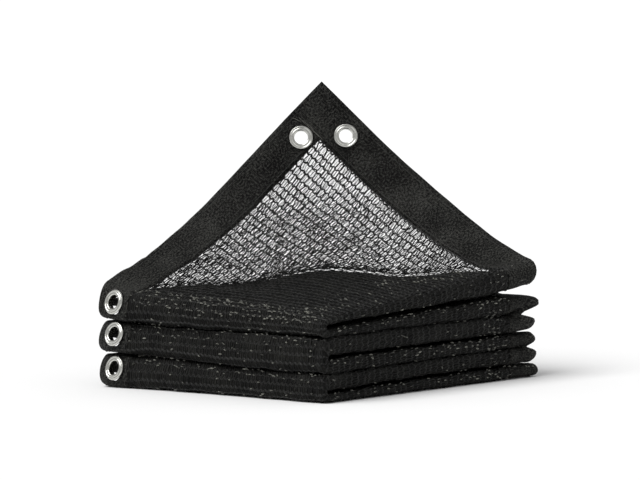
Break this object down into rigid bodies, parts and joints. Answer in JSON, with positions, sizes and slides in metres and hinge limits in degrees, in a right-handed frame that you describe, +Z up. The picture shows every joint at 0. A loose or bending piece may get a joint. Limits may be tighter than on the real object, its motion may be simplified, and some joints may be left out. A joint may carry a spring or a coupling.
{
  "type": "folded shade cloth",
  "caption": "Knitted shade net with taped edges and metal eyelets, folded into a square pack of layers with one corner raised.",
  "frame": {"origin": "centre of the bounding box at the base, on the surface that the pack lies on", "axes": "+Z up; the pack's near corner points along -Y, and the raised corner leans towards +Y"},
  "size_m": [0.398, 0.3948, 0.2694],
  "materials": {
    "net": "knitted polyethylene yarn and tape, matt with a dull sheen",
    "tape": "plain woven edge tape, matt",
    "metal": "polished"
  },
  "bodies": {
    "root": {"net_panel_top": "net", "net_panel_middle": "net", "net_panel_bottom": "net", "joint_tape_upper": "tape", "joint_tape_lower": "tape", "end_tape_top": "tape", "end_tape_bottom": "tape", "edge_tape_eyelets": "tape", "edge_tape_plain": "tape", "eyelet_corner_right": "metal", "washer_corner_right": "metal", "eyelet_corner_left": "metal", "washer_corner_left": "metal", "eyelet_fold_upper": "metal", "washer_fold_upper": "metal", "eyelet_fold_middle": "metal", "washer_fold_middle": "metal", "eyelet_fold_lower": "metal", "washer_fold_lower": "metal"}
  },
  "joints": []
}
